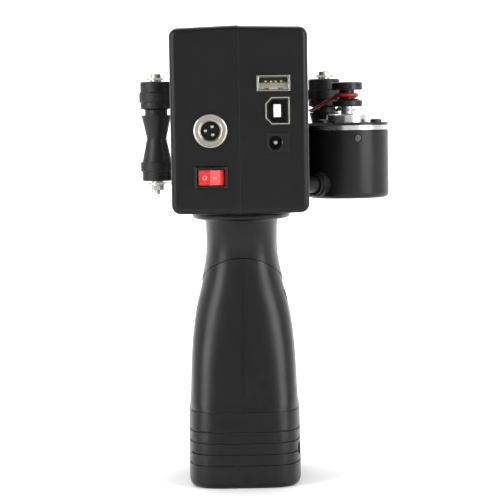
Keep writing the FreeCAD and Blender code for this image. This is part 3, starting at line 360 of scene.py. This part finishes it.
def add_tube(bm, pts, r, segs=10, cap=True):
    """Round bar along a chain of points."""
    ps = [Vector(p) for p in pts]
    rows = []
    ref = None
    for i, p in enumerate(ps):
        t = (ps[min(i + 1, len(ps) - 1)] - ps[max(i - 1, 0)]).normalized()
        if ref is None:
            ref = basis(t)[0]
        ref = (ref - t * ref.dot(t)).normalized()
        s_ = t.cross(ref)
        rows.append([bm.verts.new(p + ref * (r * math.cos(2 * math.pi * k / segs)) + s_ * (r * math.sin(2 * math.pi * k / segs))) for k in range(segs)])
    for a, b in zip(rows, rows[1:]):
        for i in range(segs):
            j = (i + 1) % segs
            bm.faces.new((a[i], a[j], b[j], b[i]))
    if cap:
        bm.faces.new(rows[0][::-1])
        bm.faces.new(rows[-1])


# --- flared collar where the neck meets the head, with a shadow gap beneath its rim
def oval(z, a, yr, yf, n, count=120):
    cy, hb = 0.5 * (yr + yf), 0.5 * (yf - yr)
    pts = []
    for k in range(count):
        t = 2 * math.pi * k / count
        c, d = math.cos(t), math.sin(t)
        rr = (abs(c) ** n + abs(d) ** n) ** (-1.0 / n)
        pts.append((a * rr * c, cy + hb * rr * d, z))
    return pts


bm = bmesh.new()
rows = []
for z, a, e in ((124.35, 22.4, 0.0), (123.4, 22.75, 0.35), (122.5, 22.75, 0.35), (121.9, 22.3, 0.0), (121.45, 21.2, -1.0), (121.2, 19.4, -2.6), (121.15, 17.2, -4.6), (122.6, 16.9, -4.9), (124.3, 17.5, -4.4)):
    rows.append([bm.verts.new(q) for q in oval(z, a, -32.9 - e, 31.4 + e, 2.6)])
for a, b in zip(rows, rows[1:] + rows[:1]):
    for i in range(len(a)):
        j = (i + 1) % len(a)
        bm.faces.new((a[i], a[j], b[j], b[i]))
piece("neck_collar_rim", bm, "grip", "housing", smooth=60)

# --- type A socket: contacts under the tongue, spring leaves in the floor and the side walls
UA = (15.4, 182.8)
bm = bmesh.new()
for k in range(4):
    x = UA[0] + (-3.5, -1.0, 1.0, 3.5)[k]
    z = UA[1] + 0.5
    prof = [(x - 0.5, -45.2, z), (x - 0.5, -44.8, z - 0.22), (x - 0.5, -41.5, z - 0.42), (x - 0.5, -38.0, z - 0.22), (x - 0.5, -34.0, z - 0.05), (x - 0.5, -34.0, z + 0.02), (x - 0.5, -45.2, z + 0.02)]
    add_prism(bm, prof, (1.0, 0, 0))
piece("usb_a_contacts", bm, "brass", "housing")
bm = bmesh.new()
for x in (UA[0] - 3.1, UA[0] + 3.1):
    z = UA[1] - 2.65
    outline = [(-46.0, 0.02), (-44.6, 0.5), (-43.2, 0.78), (-42.0, 0.62), (-40.6, 0.1), (-40.6, 0.0), (-42.0, 0.45), (-43.2, 0.6), (-44.6, 0.32), (-46.0, -0.02)]
    add_prism(bm, [(x - 1.0, y, z + h) for y, h in outline], (2.0, 0, 0))
for sx in (-1, 1):
    x0 = UA[0] + sx * 6.4
    outline = [(-45.9, 0.0), (-44.0, 0.45), (-42.6, 0.55), (-41.4, 0.1), (-41.4, 0.0)]
    add_prism(bm, [(x0 - sx * h, y, UA[1] - 1.6) for y, h in outline], (0, 0, 1.5))
piece("usb_a_springs", bm, "chrome", "housing")

bm = bmesh.new()
for sx in (-1, 1):
    x = UA[0] + sx * 5.62
    add_prism(bm, [(x, -45.3, UA[1] + 0.55), (x + sx * 0.6, -44.9, UA[1] + 0.55), (x + sx * 0.6, -39.4, UA[1] + 0.55), (x, -39.4, UA[1] + 0.55)], (0, 0, 1.9))
add_prism(bm, [(UA[0] - 6.2, -45.0, UA[1] + 2.24), (UA[0] + 6.2, -45.0, UA[1] + 2.24), (UA[0] + 6.2, -39.4, UA[1] + 2.24), (UA[0] - 6.2, -39.4, UA[1] + 2.24)], (0, 0, 0.36))
piece("usb_a_back", bm, "black", "housing", bevel=0.1)
bm = bmesh.new()
z = UA[1] - 2.6
outline = [(-44.9, 0.0), (-44.9, 0.12), (-43.4, 0.3), (-41.8, 1.1), (-41.0, 2.3), (-40.8, 2.95), (-40.3, 2.95), (-40.3, 0.0)]
add_prism(bm, [(UA[0] - 6.2, y, z + h) for y, h in outline], (12.4, 0, 0))
piece("usb_a_inner_wall", bm, "white", "housing", bevel=0.08)
bm = bmesh.new()
for dx in (-3.5, -1.0, 1.0, 3.5):
    x, z = UA[0] + dx, UA[1] + 0.55
    outline = [(-45.58, 0.0), (-45.72, 0.08), (-45.74, 0.3), (-45.68, 0.5), (-45.58, 0.56)]
    add_prism(bm, [(x - 0.45, y, z + h) for y, h in outline], (0.9, 0, 0))
piece("usb_a_contact_tips", bm, "brass", "housing", bevel=0.05)

# --- type B socket: four contacts round the tongue, a liner in the shell
UB = (17.0, 170.6)
bm = bmesh.new()
for sx, x in ((-1, UB[0] - 1.7), (1, UB[0] + 1.5)):
    for dz in (-1.25, 1.25):
        outline = [(-45.0, 0.0), (-44.2, 0.22), (-40.0, 0.3), (-36.0, 0.1), (-36.0, -0.02), (-45.0, -0.02)]
        add_prism(bm, [(x + sx * h, y, UB[1] + dz - 0.5) for y, h in outline], (0, 0, 1.0))
piece("usb_b_contacts", bm, "brass", "housing")


def b_outline(g):
    """Inner outline of the type B shell, stepped in by g."""
    x0, x1, z = UB[0] - 4.85 + g, UB[0] + 4.85 - g, 5.5 - g
    return [(UB[0] - 2.44 + g * 0.4, -z), (x1, -z), (x1, z), (UB[0] - 2.44 + g * 0.4, z), (x0, 2.94 - g * 0.4), (x0, -2.94 + g * 0.4)]


bm = bmesh.new()
loops = []
for g, y in ((0.02, -45.7), (0.5, -45.9), (0.7, -45.7), (0.75, -40.5)):
    loops.append([bm.verts.new((x, y, UB[1] + z)) for x, z in b_outline(g)])
loops.append([bm.verts.new((UB[0] - 0.1 + (v.co.x - UB[0] + 0.1) * 0.42, -40.5, UB[1] + (v.co.z - UB[1]) * 0.58)) for v in loops[-1]])
outer_back = [bm.verts.new((x, -39.9, UB[1] + z)) for x, z in b_outline(0.02)]
loops.append([bm.verts.new((v.co.x, -39.9, v.co.z)) for v in loops[-1]])
loops.append(outer_back)
for a, b in zip(loops, loops[1:] + loops[:1]):
    for i in range(6):
        j = (i + 1) % 6
        bm.faces.new((a[i], a[j], b[j], b[i]))
piece("usb_b_liner", bm, "black", "housing", smooth=30)

# --- barrel jack: contact leaf at the side of the bore
DCH = (15.95, 156.5)
bm = bmesh.new()
outline = [(-45.6, 0.0), (-44.6, 0.55), (-42.5, 0.85), (-40.0, 0.6), (-37.5, 0.0), (-37.5, -0.1), (-45.6, -0.1)]
add_prism(bm, [(DCH[0] + 2.9 - h, y, DCH[1] - 0.7) for y, h in outline], (0, 0, 1.4))
piece("dc_jack_contact", bm, "chrome", "housing")

# --- three-pin socket: thread turns on the wall of the mouth, beads on the flange, collars round the pins
SK = (-12.9, 162.1)
bm = bmesh.new()
for k in range(4):
    add_lathe(bm, [(4.52, -0.22), (4.33, -0.05), (4.33, 0.05), (4.52, 0.22)], (SK[0], -46.6 + 0.8 * k, SK[1]), (0, 1, 0), 56)
piece("socket_thread", bm, "chrome", "housing", smooth=25)
bm = bmesh.new()
add_lathe(bm, torus_prof(7.02, -47.56, 0.22, 12), (SK[0], 0.0, SK[1]), (0, 1, 0), 72)
add_lathe(bm, torus_prof(5.15, -47.56, 0.24, 12), (SK[0], 0.0, SK[1]), (0, 1, 0), 72)
piece("socket_flange_beads", bm, "chrome", "housing", smooth=60)
bm = bmesh.new()
add_lathe(bm, [(1.35, 0.0), (1.35, 0.35), (1.2, 0.5), (1.05, 0.35), (1.05, 0.0)], (-12.05, -43.6, 164.0), (0, -1, 0), 24)
add_lathe(bm, [(1.35, 0.0), (1.35, 0.35), (1.2, 0.5), (1.05, 0.35), (1.05, 0.0)], (-15.15, -43.6, 162.2), (0, -1, 0), 24)
add_lathe(bm, [(1.35, 0.0), (1.35, 0.35), (1.2, 0.5), (1.05, 0.35), (1.05, 0.0)], (-11.85, -43.6, 160.4), (0, -1, 0), 24)
piece("socket_pin_collars", bm, "black", "housing")

# --- rocker marks, printed and slightly raised, one on each half
PIV, RC = Vector((-12.9, -45.2, 141.4)), math.radians(-10.0)


def on_rocker(a, z, lift=0.0):
    """Point on the rocker's rear faces at a across and z up, standing lift above the face."""
    b = -2.55 - abs(a) / 5.05 * 1.0
    n = Vector((0.194 if a > 0 else -0.194, -0.981, 0)) if abs(a) > 1e-9 else Vector((0, -1, 0))
    n = Vector((-n.x, n.y, 0)) if a else n
    p = Vector((a, b, z)) + n * lift
    c, s_ = math.cos(RC), math.sin(RC)
    return PIV + Vector((p.x * c - p.y * s_, p.x * s_ + p.y * c, p.z))


bm = bmesh.new()
N = 40
loops = []
for k in range(N):
    t = 2 * math.pi * k / N
    row = []
    for rad, h in ((0.66, -0.02), (0.68, 0.035), (0.84, 0.035), (0.86, -0.02)):
        row.append(bm.verts.new(on_rocker(-2.35 + rad * math.cos(t), rad * math.sin(t) * 1.1, h)))
    loops.append(row)
for k in range(N):
    a, b = loops[k], loops[(k + 1) % N]
    for i in range(4):
        j = (i + 1) % 4
        bm.faces.new((a[i], a[j], b[j], b[i]))
piece("rocker_mark_off", bm, "white_ink", "rocker")
bm = bmesh.new()
outl = []
for k in range(17):
    t = -math.pi / 2 + math.pi * k / 16
    outl.append((2.0 + 0.82 + 0.09 * math.cos(t), 0.09 * math.sin(t)))
for k in range(17):
    t = math.pi / 2 + math.pi * k / 16
    outl.append((2.0 - 0.82 + 0.09 * math.cos(t), 0.09 * math.sin(t)))
lo = [bm.verts.new(on_rocker(x, z * 1.4, -0.02)) for x, z in outl]
hi = [bm.verts.new(on_rocker(x, z * 1.4, 0.035)) for x, z in outl]
bm.faces.new(lo[::-1])
bm.faces.new(hi)
for i in range(len(lo)):
    j = (i + 1) % len(lo)
    bm.faces.new((lo[i], lo[j], hi[j], hi[i]))
piece("rocker_mark_on", bm, "white_ink", "rocker")

# --- threads where the axle ends stand out below their nuts
for side, x in (("left", -42.5), ("right", 42.5)):
    bm = bmesh.new()
    add_thread(bm, (x, 72.0, 132.15), (0, 0, -1), 1.5, 1.62, 0.5, 1.6)
    piece(side + "_axle_thread", bm, "zinc", "housing", smooth=20)

# --- rollers: fine turned lines on the bores' rims and mould lines on the tyres
for side, x in (("left", -42.5), ("right", 42.5)):
    body = side + "_roller"
    bm = bmesh.new()
    for h, r in ((187.0 - 2.0, 7.9), (187.0 - 3.6, 7.9), (137.0 + 1.6, 7.5), (137.0 + 3.0, 7.5)):
        add_lathe(bm, torus_prof(r - 0.02, 0.0, 0.07, 8), (x, 72.0, h), (0, 0, 1), 72)
    piece(side + "_core_beads", bm, "roller", body, smooth=60)

# --- encoder: shield over the bearing, collar ring on the shaft, turned lines on the pulley, ribbed gland nut
EX, EY = 52.6, 44.0
bm = bmesh.new()
add_lathe(bm, [(3.35, 0.0), (3.35, 0.16), (3.6, 0.26), (8.4, 0.26), (8.8, 0.12), (8.8, 0.0)], (EX, EY, 168.9), (0, 0, 1), 64)
piece("encoder_collar_cap", bm, "alu_turned", "housing")
bm = bmesh.new()
add_lathe(bm, [(3.0, 0.0), (4.1, 0.0), (4.3, 0.2), (4.3, 0.8), (4.1, 1.0), (3.0, 1.0)], (EX, EY, 170.6), (0, 0, 1), 40)
piece("shaft_retaining_ring", bm, "zinc", "encoder_rotor")
bm = bmesh.new()
for h in (184.6,):
    for r in (2.2, 3.7, 5.4):
        add_lathe(bm, torus_prof(r, 0.0, 0.08, 8), (EX, EY, h), (0, 0, 1), 56)
piece("pulley_turned_lines", bm, "pulley_black", "encoder_rotor", smooth=60)
S45 = math.sqrt(0.5)
gd = Vector((-S45, -S45, 0))
bm = bmesh.new()
u, v, w = basis(gd)
for k in range(28):
    a = 2 * math.pi * k / 28
    d = u * math.cos(a) + v * math.sin(a)
    t = w.cross(d)
    c = Vector((EX, EY, 135.2)) + gd * 18.7
    base = c + d * 5.7
    add_prism(bm, [tuple(base - t * 0.34), tuple(base + t * 0.34), tuple(base + t * 0.16 + d * 0.26), tuple(base - t * 0.16 + d * 0.26)], tuple(gd * 3.6))
piece("gland_ribs", bm, "black", "housing", smooth=30)

# --- cartridge: nozzle rows on the plate, seal strips along the plate's edges
bm = bmesh.new()
for col in (-1.6, 1.6):
    for k in range(26):
        z = 153.9 + k * 0.73
        add_lathe(bm, [(0.09, 0.0), (0.2, 0.05), (0.31, 0.0)], (col + (0.12 if k % 2 else -0.12), 77.29, z), (0, 1, 0), 12)
piece("nozzle_rows", bm, "black_oxide", "cartridge", smooth=60)
bm = bmesh.new()
for sx in (-1, 1):
    add_prism(bm, [(sx * 5.4, 77.25, 153.2), (sx * 5.7, 77.25, 153.2), (sx * 5.7, 77.25, 172.8), (sx * 5.4, 77.25, 172.8)], (0, 0.12, 0))
piece("nozzle_edge_seal", bm, "black", "cartridge", bevel=0.03)

# --- trigger: grip ribs across the finger face
bm = bmesh.new()
for z, y in ((102.4, 27.3), (104.6, 26.95), (106.8, 26.72), (109.0, 26.75), (111.2, 26.98)):
    add_tube(bm, [(-4.6, y, z), (-4.45, y + 0.1, z), (-3.0, y + 0.12, z), (0, y + 0.12, z), (3.0, y + 0.12, z), (4.45, y + 0.1, z), (4.6, y, z)], 0.42, 14)
piece("trigger_ribs", bm, "gloss_black", "trigger_unit")

# --- front plate: a raised rim round the cartridge mouth
bm = bmesh.new()
x0, x1, z0, z1, t = -15.9, 15.9, 132.6, 198.75, 0.55
outer = [(x0, z0), (x1, z0), (x1, z1), (x0, z1)]
inner = [(x0 + t, z0 + t), (x1 - t, z0 + t), (x1 - t, z1 - t), (x0 + t, z1 - t)]


def rounded(cx0, cx1, cz0, cz1, r, n=6):
    pts = []
    for (cx, cz, a0) in ((cx1 - r, cz0 + r, -90), (cx1 - r, cz1 - r, 0), (cx0 + r, cz1 - r, 90), (cx0 + r, cz0 + r, 180)):
        for k in range(n + 1):
            a = math.radians(a0 + 90 * k / n)
            pts.append((cx + r * math.cos(a), cz + r * math.sin(a)))
    return pts


lo_o, lo_i = rounded(x0, x1, z0, z1, 1.6), rounded(x0 + t, x1 - t, z0 + t, z1 - t, 1.05)
rows = []
for (xo, zo), (xi, zi) in zip(lo_o, lo_i):
    mx, mz = 0.5 * (xo + xi), 0.5 * (zo + zi)
    rows.append([bm.verts.new((xo, 77.45, zo)), bm.verts.new((xo * 0.7 + xi * 0.3, 77.72, zo * 0.7 + zi * 0.3)), bm.verts.new((xo * 0.3 + xi * 0.7, 77.72, zo * 0.3 + zi * 0.7)), bm.verts.new((xi, 77.45, zi))])
for k in range(len(rows)):
    a, b = rows[k], rows[(k + 1) % len(rows)]
    for i in range(4):
        j = (i + 1) % 4
        bm.faces.new((a[i], a[j], b[j], b[i]))
piece("mouth_rim", bm, "stainless", "housing", smooth=30)

# ------------------------------------------------------------------ stage
def stage_mat(name, v, rough):
    mat, nt, b = new_mat(name)
    n = noise(nt, coords(nt), 3.0, 2.0)
    nt.links.new(ramp(nt, n, [(0.0, grey(v - 0.01)), (1.0, grey(v))]), b.inputs["Base Color"])
    b.inputs["Roughness"].default_value = rough
    b.inputs["Specular IOR Level"].default_value = 0.1
    return mat


me = bpy.data.meshes.new("floor")
bm = bmesh.new()
prof = [(0.0, 0.0), (1.7, 0.0)]
for k in range(1, 13):
    a = math.pi / 2 * k / 12
    prof.append((1.7 + 0.8 * math.sin(a), 0.8 - 0.8 * math.cos(a)))
prof.append((2.5, 2.2))
SEG = 96
rows = []
for k in range(SEG):
    a = 2 * math.pi * k / SEG
    rows.append([bm.verts.new((r * math.cos(a), r * math.sin(a), z - 0.0002)) for r, z in prof[1:]])
mid = bm.verts.new((0, 0, -0.0002))
for k in range(SEG):
    a, b_ = rows[k], rows[(k + 1) % SEG]
    bm.faces.new((mid, a[0], b_[0]))
    for i in range(len(a) - 1):
        bm.faces.new((a[i], a[i + 1], b_[i + 1], b_[i]))
bmesh.ops.recalc_face_normals(bm, faces=bm.faces)
bm.to_mesh(me)
bm.free()
for p in me.polygons:
    p.use_smooth = True
floor = link(bpy.data.objects.new("floor", me))
floor.data.materials.append(stage_mat("pale_floor", 0.92, 0.8))

world = bpy.data.worlds.new("world")
scene.world = world
world.use_nodes = True
world.node_tree.nodes["Background"].inputs["Color"].default_value = (1, 1, 1, 1)
world.node_tree.nodes["Background"].inputs["Strength"].default_value = 0.4


def area(name, loc, target, size, power, size_y=None, color=(1, 1, 1), spread=180.0):
    d = bpy.data.lights.new(name, "AREA")
    d.shape = "RECTANGLE" if size_y else "SQUARE"
    d.size = size
    if size_y:
        d.size_y = size_y
    d.energy = power
    d.color = color
    d.spread = math.radians(spread)
    o = link(bpy.data.objects.new(name, d))
    o.location = loc
    v = Vector(target) - Vector(loc)
    o.rotation_euler = v.to_track_quat("-Z", "Y").to_euler()
    return o


area("soft_left", (-0.80, -0.56, 0.44), (0, 0, 0.14), 0.55, 7.6, 0.7)
area("soft_right", (0.80, -0.56, 0.44), (0, 0, 0.14), 0.55, 7.6, 0.7)
area("overhead", (0, 1.0, 1.7), (0, 1.0, 0.0), 1.8, 34.0, 1.4)
area("backdrop", (0, 0.9, 1.5), (0, 2.5, 0.7), 1.8, 22.0, 0.8)
scene.view_settings.view_transform = "Standard"
scene.view_settings.look = "None"
